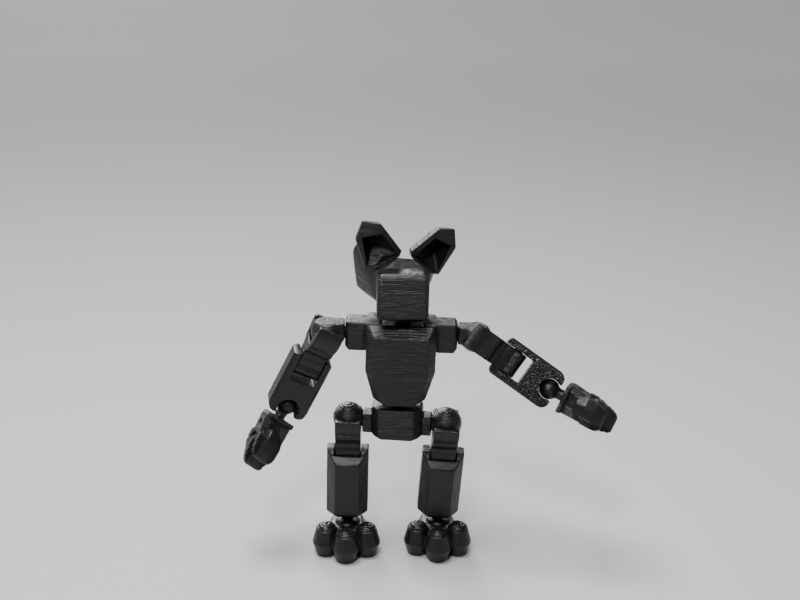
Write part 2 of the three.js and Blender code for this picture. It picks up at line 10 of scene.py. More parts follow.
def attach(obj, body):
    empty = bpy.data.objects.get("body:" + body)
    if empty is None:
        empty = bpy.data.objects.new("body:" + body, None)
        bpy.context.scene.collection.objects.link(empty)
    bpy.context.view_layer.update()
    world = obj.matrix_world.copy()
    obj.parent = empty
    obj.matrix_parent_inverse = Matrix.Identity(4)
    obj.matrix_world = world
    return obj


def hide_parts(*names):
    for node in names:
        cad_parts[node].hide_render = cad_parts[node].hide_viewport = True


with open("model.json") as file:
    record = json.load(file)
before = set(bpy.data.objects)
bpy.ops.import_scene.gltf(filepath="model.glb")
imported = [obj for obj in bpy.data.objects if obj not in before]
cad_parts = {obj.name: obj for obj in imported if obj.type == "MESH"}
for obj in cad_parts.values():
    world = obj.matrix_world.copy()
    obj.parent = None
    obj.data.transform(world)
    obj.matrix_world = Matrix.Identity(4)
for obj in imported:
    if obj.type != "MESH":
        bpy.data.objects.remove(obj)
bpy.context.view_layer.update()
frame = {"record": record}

# Where each piece's own frame stands, as three rows of a matrix, in millimetres.
# <frames>
FRAMES = {
    "pelvis": [[0.99617, 0.08716, 0.00695, -10.73766], [-0.08715, 0.99619, -0.00061, -1.12244], [-0.00698, 0.0, 0.99998, 49.40065]],
    "waist_stud": [[0.99995, -0.00698, 0.00695, -10.25365], [0.00698, 0.99998, -0.00061, -1.16479], [-0.00695, 0.00066, 0.99998, 61.69755]],
    "torso": [[0.99972, -0.00692, 0.02272, -10.25365], [0.00713, 0.99993, -0.00922, -1.16479], [-0.02266, 0.00938, 0.9997, 61.69755]],
    "neck_stud": [[0.99352, -0.11138, 0.02272, -9.53113], [0.11161, 0.99371, -0.00922, -1.45811], [-0.02155, 0.0117, 0.9997, 93.48799]],
    "head": [[0.9676, -0.21442, 0.1333, -10.24701], [0.21339, 0.97672, 0.02216, -1.59011], [-0.13495, 0.00701, 0.99083, 94.6027]],
    "ear_left": [[0.9676, -0.21442, 0.1333, -10.24701], [0.21339, 0.97672, 0.02216, -1.59011], [-0.13495, 0.00701, 0.99083, 94.6027]],
    "ear_right": [[0.9676, -0.21442, 0.1333, -10.24701], [0.21339, 0.97672, 0.02216, -1.59011], [-0.13495, 0.00701, 0.99083, 94.6027]],
    "muzzle": [[0.99656, -0.08273, 0.00573, -10.17691], [0.08291, 0.99551, -0.04564, -1.53066], [-0.00192, 0.04596, 0.99894, 93.502]],
    "shoulder_stud_left": [[0.99972, -0.00692, 0.02272, 15.28687], [0.00713, 0.99993, -0.00922, -1.16756], [-0.02266, 0.00938, 0.9997, 80.82297]],
    "upper_arm_left": [[0.56812, -0.13445, -0.81189, 15.28687], [0.25531, 0.96668, 0.01858, -1.16756], [0.78234, -0.21784, 0.58351, 80.82297]],
    "forearm_left": [[0.56812, 0.06167, -0.82063, 27.46525], [0.25531, 0.93478, 0.24699, -1.44619], [0.78234, -0.34984, 0.51532, 72.07029]],
    "elbow_pin_left": [[0.56812, 0.06167, -0.82063, 27.46525], [0.25531, 0.93478, 0.24699, -1.44619], [0.78234, -0.34984, 0.51532, 72.07029]],
    "hand_left": [[0.39101, 0.28536, -0.87503, 40.5954], [0.14073, 0.92101, 0.36324, -5.39809], [0.90956, -0.26517, 0.31997, 63.8252]],
    "shoulder_stud_right": [[0.99972, -0.00692, 0.02272, -34.89897], [0.00713, 0.99993, -0.00922, -1.52544], [-0.02266, 0.00938, 0.9997, 81.96029]],
    "upper_arm_right": [[0.88244, -0.10869, 0.45769, -34.89897], [0.16615, 0.98225, -0.08708, -1.52544], [-0.4401, 0.15289, 0.88484, 81.96029]],
    "forearm_right": [[0.88244, -0.15594, 0.44382, -41.76437], [0.16615, 0.98597, 0.01607, -0.21923], [-0.4401, 0.05956, 0.89597, 68.68776]],
    "elbow_pin_right": [[0.88244, -0.15594, 0.44382, -41.76437], [0.16615, 0.98597, 0.01607, -0.21923], [-0.4401, 0.05956, 0.89597, 68.68776]],
    "hand_right": [[0.78571, -0.35361, 0.50757, -48.86557], [0.12342, 0.89362, 0.43152, -0.47634], [-0.60616, -0.2764, 0.74577, 54.35224]],
    "hip_stud_left": [[0.99617, 0.08716, 0.00695, 6.19723], [-0.08715, 0.99619, -0.00061, -2.60406], [-0.00698, 0.0, 0.99998, 49.28196]],
    "thigh_left": [[0.99824, 0.00568, 0.05901, 6.19723], [3e-05, 0.99534, -0.09645, -2.60406], [-0.05928, 0.09628, 0.99359, 49.28196]],
    "shin_left": [[0.99824, 0.00568, 0.05901, 5.31213], [3e-05, 0.99534, -0.09645, -1.1573], [-0.05928, 0.09628, 0.99359, 34.37816]],
    "knee_pin_left": [[0.99824, 0.00568, 0.05901, 5.31213], [3e-05, 0.99534, -0.09645, -1.1573], [-0.05928, 0.09628, 0.99359, 34.37816]],
    "foot_left": [[1.0, -0.0, 0.0, 4.191], [-0.0, 1.0, 0.0, 0.67526], [0.0, 0.0, 1.0, 15.5]],
    "hip_stud_right": [[0.99617, 0.08716, 0.00695, -27.67256], [-0.08715, 0.99619, -0.00061, 0.35917], [-0.00698, 0.0, 0.99998, 49.51933]],
    "thigh_right": [[0.99993, -0.00051, 0.01218, -27.67256], [1e-05, 0.99915, 0.04127, 0.35917], [-0.01219, -0.04126, 0.99907, 49.51933]],
    "shin_right": [[0.99993, -0.00051, 0.01218, -27.85526], [1e-05, 0.99915, 0.04127, -0.25985], [-0.01219, -0.04126, 0.99907, 34.53322]],
    "knee_pin_right": [[0.99993, -0.00051, 0.01218, -27.85526], [1e-05, 0.99915, 0.04127, -0.25985], [-0.01219, -0.04126, 0.99907, 34.53322]],
    "foot_right": [[1.0, 0.0, 0.0, -28.08668], [0.0, 1.0, -0.0, -1.04394], [0.0, -0.0, 1.0, 15.55082]],
}
AIM = (-10.4377, -1.1224, 93.5)
# </frames>

F = np.float32
LAYER = 0.24  # layer height of the print, mm


# ---- distance fields, in millimetres, each piece in its own frame -------------------------------------------
def smax(a, b, k=0.4):
    if k <= 0:
        return np.maximum(a, b)
    h = np.maximum(k - np.abs(a - b), 0) / k
    return np.maximum(a, b) + h * h * (k * 0.25)


def smin(a, b, k=0.4):
    return -smax(-a, -b, k)


def cutaway(a, *others, k=0.3):
    for b in others:
        a = smax(a, -b, k)
    return a


def hull_planes(points):
    bm = bmesh.new()
    for p in points:
        bm.verts.new(p)
    bmesh.ops.convex_hull(bm, input=bm.verts)
    bmesh.ops.delete(bm, geom=[v for v in bm.verts if not v.link_faces], context="VERTS")
    bm.normal_update()
    middle = sum((v.co for v in bm.verts), Vector()) / len(bm.verts)
    planes = []
    for f in bm.faces:
        n = f.normal.copy()
        d = n.dot(f.calc_center_median())
        if n.dot(middle) > d:
            n, d = -n, -d
        if not any((n - m).length < 0.02 and abs(d - e) < 0.02 for m, e in planes):
            planes.append((n, d))
    bm.free()
    return planes


def solid(points, k=0.5):
    planes = hull_planes(points)

    def f(x, y, z):
        out = None
        for n, d in planes:
            v = (n.x * x + n.y * y) + (n.z * z - d)
            out = v if out is None else smax(out, v, k)
        return out

    return f


def block(x0, x1, y0, y1, z0, z1, k=0.3):
    def f(x, y, z):
        a = np.maximum(x0 - x, x - x1)
        b = np.maximum(y0 - y, y - y1)
        c = np.maximum(z0 - z, z - z1)
        return smax(smax(a, b, k), c, k)

    return f


def ballf(r, cx=0.0, cy=0.0, cz=0.0):
    return lambda x, y, z: np.sqrt((x - cx) ** 2 + (y - cy) ** 2 + (z - cz) ** 2) - r


def rod(axis, r, a0, a1, c=(0.0, 0.0), k=0.2):
    def f(x, y, z):
        if axis == "x":
            q, u, v = x, y, z
        elif axis == "y":
            q, u, v = y, x, z
        else:
            q, u, v = z, x, y
        return smax(np.sqrt((u - c[0]) ** 2 + (v - c[1]) ** 2) - r, np.maximum(a0 - q, q - a1), k)

    return f


def polygon(points):
    pts = [tuple(map(float, p)) for p in points]

    def g(a, b):
        best = None
        inside = None
        n = len(pts)
        for i in range(n):
            (x0, y0), (x1, y1) = pts[i], pts[(i + 1) % n]
            ex, ey = x1 - x0, y1 - y0
            wx, wy = a - x0, b - y0
            t = np.clip((wx * ex + wy * ey) / (ex * ex + ey * ey + 1e-12), 0, 1)
            d = (wx - ex * t) ** 2 + (wy - ey * t) ** 2
            best = d if best is None else np.minimum(best, d)
            if y0 != y1:
                cross = ((y0 > b) != (y1 > b)) & (a < ex * (b - y0) / (y1 - y0) + x0)
                inside = cross if inside is None else inside ^ cross
        return np.where(inside, -1.0, 1.0).astype(F) * np.sqrt(best)

    return g


def slab(axis, points, a0, a1, k=0.4, soften=0.0):
    """outline pushed along an axis; the outline is (y, z), (x, z) or (x, y)"""
    g = polygon(points)

    def f(x, y, z):
        q, u, v = {"x": (x, y, z), "y": (y, x, z), "z": (z, x, y)}[axis]
        return smax(g(u, v) - soften, np.maximum(a0 - q, q - a1), k)

    return f


def pebbles(u, v, scale, seed=0.0):
    """uneven grain of a textured print bed"""
    a = 0
    for i in range(7):
        th = i * 2.39996 + seed
        s = (1.0 + 0.23 * ((i * 37) % 5)) / scale
        a = a + np.sin(6.2832 * s * (u * math.cos(th) + v * math.sin(th)) + i * 1.7 + 1.3 * np.sin(4.1 * s * (u * math.sin(th) - v * math.cos(th)) + i))
    return a / 7


# ---- a closed surface through a distance field ---------------------------------------------------------------
def ticks(a, b, h):
    """grid lines from a to b; the step is one number, or (where it changes, step below, step above)"""
    more = 1.0
    if hasattr(h, "__len__"):
        split, below, above = h[0], h[1] * more, h[2] * more
        return np.concatenate([split - below * np.arange(int(math.ceil((split - a) / below)) + 2, 0, -1), np.arange(split, b + 3 * above, above)])
    h = h * more
    return a - 2 * h + h * np.arange(int(math.ceil((b - a) / h)) + 5)


def surface(f, lo, hi, h, settle=2):
    steps = h if hasattr(h, "__len__") else (h, h, h)
    lines = [ticks(lo[i], hi[i], steps[i]) for i in range(3)]
    n = np.array([len(t) for t in lines])
    finest = min(float(np.diff(t).min()) for t in lines)
    X = lines[0].astype(F).reshape(-1, 1, 1)
    Y = lines[1].astype(F).reshape(1, -1, 1)
    Z = lines[2].astype(F).reshape(1, 1, -1)
    v = np.broadcast_to(f(X, Y, Z), tuple(n)).astype(F)
    s = v < 0
    total = np.zeros(tuple(n - 1), np.int8)
    for a in (0, 1):
        for b in (0, 1):
            for c in (0, 1):
                total += s[a : n[0] - 1 + a, b : n[1] - 1 + b, c : n[2] - 1 + c]
    active = (total > 0) & (total < 8)
    index = np.full(active.shape, -1, np.int64)
    I, J, K = np.nonzero(active)
    index[I, J, K] = np.arange(len(I))
    acc = np.zeros((len(I), 3))
    cnt = np.zeros(len(I))
    for axis in range(3):
        for p in (0, 1):
            for q in (0, 1):
                o = [p, q]
                o.insert(axis, 0)
                a = v[I + o[0], J + o[1], K + o[2]]
                e = list(o)
                e[axis] = 1
                b = v[I + e[0], J + e[1], K + e[2]]
                m = (a < 0) != (b < 0)
                t = a[m] / (a[m] - b[m])
                pos = np.tile(np.array(o, float), (m.sum(), 1))
                pos[:, axis] = t
                acc[m] += pos
                cnt[m] += 1
    part = acc / cnt[:, None]
    verts = np.stack([t[i] + part[:, k] * (t[i + 1] - t[i]) for k, (t, i) in enumerate(zip(lines, (I, J, K)))], -1)
    faces = []
    for axis in range(3):
        u, w = [(1, 2), (2, 0), (0, 1)][axis]
        sl0 = [slice(None)] * 3
        sl1 = [slice(None)] * 3
        sl0[axis] = slice(0, -1)
        sl1[axis] = slice(1, None)
        a, b = s[tuple(sl0)], s[tuple(sl1)]
        ii = np.stack(np.nonzero(a != b), -1)
        inner = (ii[:, u] > 0) & (ii[:, w] > 0) & (ii[:, u] < n[u] - 1) & (ii[:, w] < n[w] - 1)
        ii = ii[inner]
        out = a[ii[:, 0], ii[:, 1], ii[:, 2]]
        du = np.zeros(3, int)
        dw = np.zeros(3, int)
        du[u] = 1
        dw[w] = 1
        c = [ii - du - dw, ii - dw, ii, ii - du]
        quad = np.stack([index[q[:, 0], q[:, 1], q[:, 2]] for q in c], -1)
        quad = np.where(out[:, None], quad, quad[:, ::-1])
        faces.append(quad)
    faces = np.concatenate(faces)
    for _ in range(settle):
        p = [verts[:, i].astype(np.float64) for i in range(3)]
        e = 0.02
        f0 = f(*p)
        g = np.stack([f(p[0] + e, p[1], p[2]) - f0, f(p[0], p[1] + e, p[2]) - f0, f(p[0], p[1], p[2] + e) - f0], -1) / e
        step = -(f0 / np.maximum((g * g).sum(-1), 0.25))[:, None] * g
        size = np.linalg.norm(step, axis=-1, keepdims=True)
        step *= np.minimum(1, 0.5 * finest / np.maximum(size, 1e-9))
        verts = verts + step
    return verts, faces


MESHES = {}


def make_mesh(name, f, lo, hi, h, settle=2, mirror=False, thin=0.0):
    verts, faces = surface(f, lo, hi, h, settle)
    MESHES[name] = (verts, faces)
    return verts, faces


def build(name, node, body, shape, material, thin=1.0, mirror=False, facets=False):
    """one piece from a shape in MESHES, standing in its node's frame"""
    verts, faces = MESHES[shape]
    verts = verts.copy()
    if mirror:
        verts[:, 0] *= -1
        faces = faces[:, ::-1]
    me = bpy.data.meshes.new(name)
    me.vertices.add(len(verts))
    me.vertices.foreach_set("co", (verts / 1000).astype(F).ravel())
    me.loops.add(faces.size)
    me.loops.foreach_set("vertex_index", faces.astype(np.int32).ravel())
    me.polygons.add(len(faces))
    me.polygons.foreach_set("loop_start", np.arange(0, faces.size, 4, dtype=np.int32))
    me.update(calc_edges=True)
    ob = bpy.data.objects.new(name, me)
    bpy.context.scene.collection.objects.link(ob)
    if thin < 1:
        mod = ob.modifiers.new("thin", "DECIMATE")
        mod.ratio = thin
        mod.use_collapse_triangulate = True
        dg = bpy.context.evaluated_depsgraph_get()
        fresh = bpy.data.meshes.new_from_object(ob.evaluated_get(dg))
        ob.modifiers.clear()
        ob.data = fresh
        bpy.data.meshes.remove(me)
        me = fresh
        me.name = name
    me.polygons.foreach_set("use_smooth", np.full(len(me.polygons), not facets))
    me.update()
    m = FRAMES[node]
    mat = Matrix([[*m[0][:3], m[0][3] / 1000], [*m[1][:3], m[1][3] / 1000], [*m[2][:3], m[2][3] / 1000], [0, 0, 0, 1]])
    ob.matrix_world = mat
    me.materials.append(material)
    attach(ob, body)
    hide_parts(node)
    return ob


# ---- shapes ---------------------------------------------------------------------------------------------------
def layered(t, h=LAYER, p=5):
    """a coordinate settled into printed layers with rounded edges"""
    u = t / h
    low = np.floor(u)
    s = 2 * (u - low) - 1
    return h * (low + 0.5 + 0.5 * np.sign(s) * np.abs(s) ** p)


def side_stud(end, flat):
    core_ball = ballf(5.35)
    neck = rod("x", 2.9, end, 0.0, k=0.25)
    saddle = block(end, 0.0, -3.0, 3.0, 0.0, 6.0, 0.8)
    peg = rod("x", 2.0, end - 5.0, end + 1.0, k=0.4)
    bulb = rod("x", 2.45, end - 4.5, end - 3.6, k=0.5)

    def f(x, y, z):
        zz = z if flat else layered(z)
        b = core_ball(x, y, zz)
        if not flat:
            b = b + 0.012 * pebbles(y + x, z, 1.1)
        a = smin(b, neck(x, y, z), 0.9)
        if flat:
            a = smin(a, saddle(x, y, z), 0.5)
            top = z - 4.0 + 0.07 * pebbles(x, y, 0.75, 0.4)
            a = smax(a, top, 0.35)
        return smin(smin(a, peg(x, y, z), 0.15), bulb(x, y, z), 0.3)

    return f


def spine_stud(end):
    core_ball = ballf(4.0)
    peg = rod("z", 2.0, end - 5.0, end + 1.0, k=0.4)
    bulb = rod("z", 2.45, end - 4.5, end - 3.6, k=0.5)

    def f(x, y, z):
        r = np.sqrt(x * x + y * y)
        cone = r - (2.2 + 0.6 * np.clip((-z - 3.3) / (-end - 3.3), 0, 1))
        cone = smax(cone, np.maximum(end - z, z), 0.2)
        a = smin(core_ball(x, y, z), cone, 0.6)
        return smin(smin(a, peg(x, y, z), 0.15), bulb(x, y, z), 0.3)

    return f


def pin(x, y, z):
    return smax(np.sqrt(y * y + z * z) - 1.5, np.abs(x) - 5.65, 0.3)


def mirror2(half):
    return half + [(-a, b) for a, b in reversed(half)]


def bar(tip_front, tip_back):
    def arc(tip):
        angles = [math.radians(tip - (tip + 34) * i / 14) for i in range(15)]
        return [(7.6 * math.cos(a), 7.6 * math.sin(a)) for a in angles]

    # rib under the cup, scoop, hinge block, and the end rounded about the pin
    side = [(6.0, -4.75), (6.0, -5.9), (5.65, -6.45), (3.9, -7.6), (3.15, -9.0), (3.1, -10.2), (3.4, -11.4), (3.4, -16.3), (2.9, -17.35), (1.9, -18.15), (0.7, -18.6)]
    body = slab("x", arc(tip_back) + side + [(-y, z) for y, z in reversed(arc(tip_front) + side)], -4.42, 4.42, 0.5)
    cup = ballf(5.65)
    mouth = slab("x", [(-5.2, 0), (5.2, 0), (5.2, 9), (-5.2, 9)], -6, 6, 0)
    win1 = block(2.3, 6, -3.7, 3.7, -5, 9, 0.8)
    win2 = block(-6, -2.3, -3.7, 3.7, -5, 9, 0.8)
    hole = rod("x", 1.8, -6, 6, (0, -15.0), 0)

    def f(x, y, z):
        a = body(x, y, z)
        a = cutaway(a, cup(x, y, z), k=0.35)
        a = cutaway(a, mouth(x, y, z), k=0.3)
        a = cutaway(a, win1(x, y, z), win2(x, y, z), k=0.35)
        return cutaway(a, hole(x, y, z), k=0.25)

    return f


def forearm(grain):
    base = -5.5 if grain else -4.3
    w, d, end = 7.2, 4.3, -18.3
    half = [(w - 1.6, 4.8), (w - 0.7, 4.5), (w - 0.15, 4.0), (w, 3.2), (w, end + 2.6), (w - 0.5, end + 1.3), (w - 1.4, end + 0.4), (w - 2.6, end)]
    plate = slab("y", mirror2(half), -d, d, 0.3)
    trim = slab("z", [(-w + 1.2, -d), (w - 1.2, -d), (w, -d + 1.2), (w, d - 1.2), (w - 1.2, d), (-w + 1.2, d), (-w, d - 1.2), (-w, -d + 1.2)], -30, 9, 0)
    slot = slab("y", [(-3.85, 9), (-3.85, base), (3.85, base), (3.85, 9)], -9, 9, 0, 0.7)
    mouth = slab("y", [(-2.7, end - 2), (2.7, end - 2), (2.7, -18.2), (-2.7, -18.2)], -9, 9, 0, 0.3)
    lip = block(-3.1, 3.1, -9, 9, end - 1, end + 0.6, 0.3)
    hole = rod("x", 1.8, -5.95, 5.95, (0, 0), 0.1)

    def f(x, y, z):
        a = smax(plate(x, y, z), trim(x, y, z), 0.35)
        # pebbled grain over the front face: coarse where it lay on the print bed, faint on the plain arm
        if grain:
            m = np.clip((-y - 3.9) / 0.3, 0, 1)
            a = a + m * 0.22 * pebbles(x, z, 1.25)
        else:
            m = np.clip((-y - 3.9) / 0.3, 0, 1)
            a = a + m * 0.02 * pebbles(x, z, 1.6, 0.8)
        a = cutaway(a, slot(x, y, z), k=0.25)
        # the clip's bore follows the ball a little way
        bore = np.sqrt(x * x + (z + 16.0) ** 2) - (3.60 + 0.2 * np.clip((np.abs(y) - 0.8) / 2.2, 0, 1))
        a = cutaway(a, bore, k=0.4)
        a = cutaway(a, mouth(x, y, z), lip(x, y, z), k=0.4)
        return cutaway(a, hole(x, y, z), k=0.1)

    return f


def shin():
    w, d, end = 7.3, 6.5, -21.2
    cx, cy = 3.2, 4.0
    outline = [(-w + cx, -d), (w - cx, -d), (w, -d + cy), (w, d - cy), (w - cx, d), (-w + cx, d), (-w, d - cy), (-w, -d + cy)]
    lower = [(x * (1 - 1.1 / w), y * (1 - 1.1 / d)) for x, y in outline]
    body = solid([(x, y, end) for x, y in lower] + [(x, y, end + 1.1) for x, y in outline] + [(x, y, 4.0) for x, y in outline], 0.35)
    front = slab("x", [(-9, -0.5), (-6.5, -0.5), (-4.2, 1.8), (-4.2, 2.4), (-3.4, 3.4), (-2.2, 4.0), (-2.2, 9), (-9, 9)], -9, 9, 0)
    back = slab("x", [(9, -3.5), (6.5, -3.5), (4.2, 0.6), (4.2, 2.4), (3.4, 3.4), (2.2, 4.0), (2.2, 9), (9, 9)], -9, 9, 0)
    slot = slab("x", [(-3.6, 9), (-3.6, -2.4), (-2.4, -3.7), (0, -4.1), (3, -4.7), (9, -6.3), (9, 9)], -4.55, 4.55, 0, 0.3)
    top = block(-4.55, 4.55, -5, 9, 1.8, 9, 0.3)
    hole = rod("x", 1.8, -5.95, 5.95, (0, 0), 0.1)
    socket = ballf(3.8, 0, 0, -19.0)

    def f(x, y, z):
        a = body(x, y, z)
        a = cutaway(a, front(x, y, z), back(x, y, z), k=0.35)
        a = cutaway(a, slot(x, y, z), top(x, y, z), k=0.3)
        a = cutaway(a, hole(x, y, z), k=0.1)
        a = cutaway(a, socket(x, y, z), k=0.3)
        r = np.sqrt(x * x + y * y)
        cone = smax(r - (3.0 + 1.0 * (-20.6 - z) / 1.6), np.maximum(-23 - z, z + 20.6), 0)
        return cutaway(a, cone, k=0.3)

    return f


def foot():
    A = 15.5
    prof = [(-A, 0), (-A, 3.45), (-A + 0.5, 3.7), (-A + 4.75, 4.88), (-A + 4.95, 4.88), (-A + 10.2, 3.5), (-A + 10.45, 3.4), (-A + 11.3, 2.35), (-A + 11.95, 1.05), (-A + 12.15, 0.45), (-A + 12.2, 0)]
    g = polygon(prof + [(a, -r) for a, r in reversed(prof)])
    centres = [(-7.1, -6.6), (0, -10.8), (7.1, -6.6)]

    def pad(grow, z):
        return [(-8.2 - grow, -6, z), (-7.0 - grow, 6.5 + grow, z), (-4.0, 9.2 + grow, z), (4.0, 9.2 + grow, z), (7.0 + grow, 6.5 + grow, z), (8.2 + grow, -6, z)]

    heel = solid(pad(-1.2, -A) + pad(0.3, 4.2 - A) + pad(-1.8, 9.6 - A - 0.8), 0.6)
    bridge = solid([(-5, -9, -A), (5, -9, -A), (-5, -9, 8.2 - A), (5, -9, 8.2 - A), (-6, -4, -A), (6, -4, -A), (-6, -4, 8.6 - A), (6, -4, 8.6 - A)], 0.5)
    ankle = ballf(3.5)
    post = rod("z", 1.9, -6.9, -2.0, k=0.1)

    def f(x, y, z):
        zz = layered(z, 0.36, 5)
        out = smin(heel(x, y, zz), bridge(x, y, zz), 0.8)
        for cx, cy in centres:
            r = np.sqrt((x - cx) ** 2 + (y - cy) ** 2)
            out = smin(out, g(zz + 0 * r, r + 0 * zz), 0.15)
        r = np.sqrt(x * x + y * y)
        cone = smax(r - (3.2 + 1.4 * (-5.4 - z) / 1.7), np.maximum(-7.1 - z, z + 5.4), 0.3)
        out = smin(out, cone, 0.5)
        out = smin(out, smin(ankle(x, y, zz), post(x, y, z), 0.7), 0.5)
        return smax(out, -A + 0.0 - z, 0.25)

    return f


def finger(x0, y0, z0, length, r):
    def ring(k, h, dx):
        return [(x0 + dx + k * r * 1.28 * math.cos(math.pi / 8 + i * math.pi / 4), y0 + k * r * math.sin(math.pi / 8 + i * math.pi / 4), z0 + h) for i in range(8)]

    return solid(ring(0.55, 0.0, 0.3) + ring(1.0, -length * 0.3, 0) + ring(0.98, -length * 0.7, -0.6) + ring(0.80, -length * 0.92, -0.9) + ring(0.58, -length, -1.1), 0.22)


def hand():
    ankle = ballf(3.5)
    post = rod("z", 1.9, -5.6, -2.0, k=0.1)
    cuff = solid([(-5.2, -4.4, -6.9), (4.4, -4.4, -6.9), (5.3, -3.6, -6.9), (5.3, 3.6, -6.9), (4.4, 4.4, -6.9), (-5.2, 4.4, -6.9),
                  (-5.2, -4.4, -5.2), (4.0, -4.4, -5.2), (4.8, -3.6, -5.2), (4.8, 3.6, -5.2), (4.0, 4.4, -5.2), (-5.2, 4.4, -5.2)], 0.45)
    back = solid([(5.3, -3.6, -6.8), (5.3, 3.6, -6.8), (3.0, -4.2, -6.8), (3.0, 4.2, -6.8), (4.2, -4.6, -13.6), (4.2, 4.6, -13.6), (1.0, -4.6, -14.0), (1.0, 4.6, -14.0)], 0.6)
    palm = solid([(3.4, -2.6, -6.8), (3.4, 2.6, -6.8), (-5.0, -3.2, -6.8), (-5.0, 3.2, -6.8), (3.0, -4.4, -15), (3.0, 4.4, -15), (-4.9, -4.4, -15), (-4.9, 4.4, -15)], 0.5)
    f1, f2, f3 = finger(0, -4.7, -10.2, 11.0, 3.8), finger(0, 4.7, -10.2, 11.0, 3.8), finger(0.1, 0, -12.6, 12.0, 3.7)
    slotted = block(2.2, 7, -1.0, 1.0, -10.6, -8.6, 0.8)
    recess = block(2.0, 7, -2.7, -1.7, -12.3, -9.4, 0.6)

    def f(x, y, z):
        xx = layered(x, 0.48, 7)
        out = smin(back(x, y, z), palm(x, y, z), 0.4)
        fingers = smin(smin(f1(xx, y, z), f2(xx, y, z), 0.15), f3(xx, y, z), 0.15)
        out = smin(out, fingers, 0.3)
        out = smin(out, cuff(x, y, z), 0.35)
        out = smin(out, smin(ankle(x, y, z), post(x, y, z), 0.7), 0.5)
        return cutaway(out, slotted(x, y, z), k=0.4)

    return f


def pelvis():
    w, d = 8.75, 6.2

    def ring(gx, gy, z):
        W, D, c = w - gx, d - gy, 2.75 - gx * 0.4
        e = 2.75 - gy * 0.4
        return [(sx * a, sy * b, z) for sx in (1, -1) for sy in (1, -1) for a, b in ((W - c, D), (W, D - e))]

    core = solid(ring(1.0, 0.2, -5.2) + ring(0, 0, -4.0) + ring(0, 0, 5.7) + ring(0.6, 0.6, 6.3), 0.5)
    boss = block(-11.9, 11.9, -2.9, 2.9, -4.2, 2.7, 0.4)
    holes = [rod("x", 2.3, 7.7, 13, k=0), rod("x", 2.75, 6.5, 8.9, k=0), rod("x", 2.3, -13, -7.7, k=0), rod("x", 2.75, -8.9, -6.5, k=0),
             rod("z", 2.3, 2.1, 8, (0.4, 0), 0), rod("z", 2.75, 0.9, 3.3, (0.4, 0), 0)]

    def f(x, y, z):
        a = smin(core(x, y, z), boss(x, y, z), 0.25)
        for h in holes:
            a = cutaway(a, h(x, y, z), k=0.2)
        return a

    return f


def torso():
    def ring(half, front, back, c, z):
        return [(-half + c, front, z), (half - c, front, z), (half, front + c, z), (half, back - c, z), (half - c, back, z), (-half + c, back, z), (-half, back - c, z), (-half, front + c, z)]

    chest = solid(ring(11.8, -5.2, 7.2, 1.0, 24.6) + ring(11.8, -9, 8, 2.7, 21.4) + ring(11.8, -9, 8, 2.7, 8.6) + ring(8.9, -8.4, 6.8, 2.4, -1.6) + ring(5.6, -7.8, 6.2, 1.6, -3.7), 0.35)
    prof = slab("y", [(-18.9, 16.3), (-17.6, 14.9), (17.6, 14.9), (18.9, 16.3), (18.9, 24.2), (18.1, 25.0), (-18.1, 25.0), (-18.9, 24.2)], -4.2, 3.8, 0.45)
    plan = slab("z", [(-17.7, -4.2), (17.7, -4.2), (18.9, -3.0), (18.9, 2.6), (17.7, 3.8), (-17.7, 3.8), (-18.9, 2.6), (-18.9, -3.0)], 10, 30, 0)
    grooves = [block(11.8, 12.3, -9, -3.9, 10, 23.4, 0), block(-12.3, -11.8, -9, -3.9, 10, 23.4, 0)]
    holes = [rod("x", 2.3, 14.7, 20, (0, 19.7), 0), rod("x", 2.75, 13.5, 15.9, (0, 19.7), 0), rod("x", 2.3, -20, -14.7, (0, 19.7), 0), rod("x", 2.75, -15.9, -13.5, (0, 19.7), 0),
             rod("z", 2.3, 19.9, 27, k=0), rod("z", 2.75, 18.7, 21.1, k=0)]
    seat = block(-7.2, 7.2, -4.4, 3.0, 24.1, 27, 0.5)
    socket = ballf(4.3)

    def f(x, y, z):
        b = smax(prof(x, y, z), plan(x, y, z), 0.4)
        m = np.clip((z - 24.4) / 0.4, 0, 1) * np.clip((np.abs(x) - 12.2) / 0.6, 0, 1)
        b = b + m * (0.045 * pebbles(x, y, 1.15, 0.3))
        a = smin(chest(x, y, z), b, 0.15)
        for g in grooves:
            a = cutaway(a, g(x, y, z), k=0.25)
        a = cutaway(a, seat(x, y, z), k=0.3)
        for h in holes:
            a = cutaway(a, h(x, y, z), k=0.25)
        a = cutaway(a, socket(x, y, z), k=0.3)
        r = np.sqrt(x * x + y * y)
        cone = smax(r - (4.6 - 1.2 * (z + 5) / 3.4), np.maximum(-6 - z, z + 1.6), 0)
        return cutaway(a, cone, k=0.3)

    return f


HD = 3.2


def both(pts):
    return [(s * x, y, z - HD) for s in (1, -1) for x, y, z in pts]


def muzzle_solid(grow, k=0.45):
    w, b, y0, y1, low, top = 8.5 + grow, 1.3, -10.6 - grow, -4.2 + grow, -grow, 16.3 + grow

    def ring(g, y):
        return [(sx * a, y, z - HD) for sx in (1, -1) for a, z in ((w - g - b, low + g), (w - g, low + g + b), (w - g, top - g - b), (w - g - b, top - g))]

    return solid(ring(1.2, y0) + ring(0, y0 + 1.2) + ring(0, y1), k)


def muzzle():
    s = muzzle_solid(0, 0.5)

    def f(x, y, z):
        return s(x, y, z)

    return f


EX, EZ = 9.9, 19.0
RIM = [(15.7, 27.4), (9.8, 27.3), (1.6, 18.8), (2.0, 16.8), (9.8, 11.6), (12.7, 11.0), (17.2, 20.9)]


def ear_rings(k, dx, dz, y):
    return [(EX + dx + (x - EX) * k, y(x), EZ + dz + (z - EZ) * k - HD) for x, z in RIM]


def ear_front(x):
    return 3.2 if x > 11 else 1.6


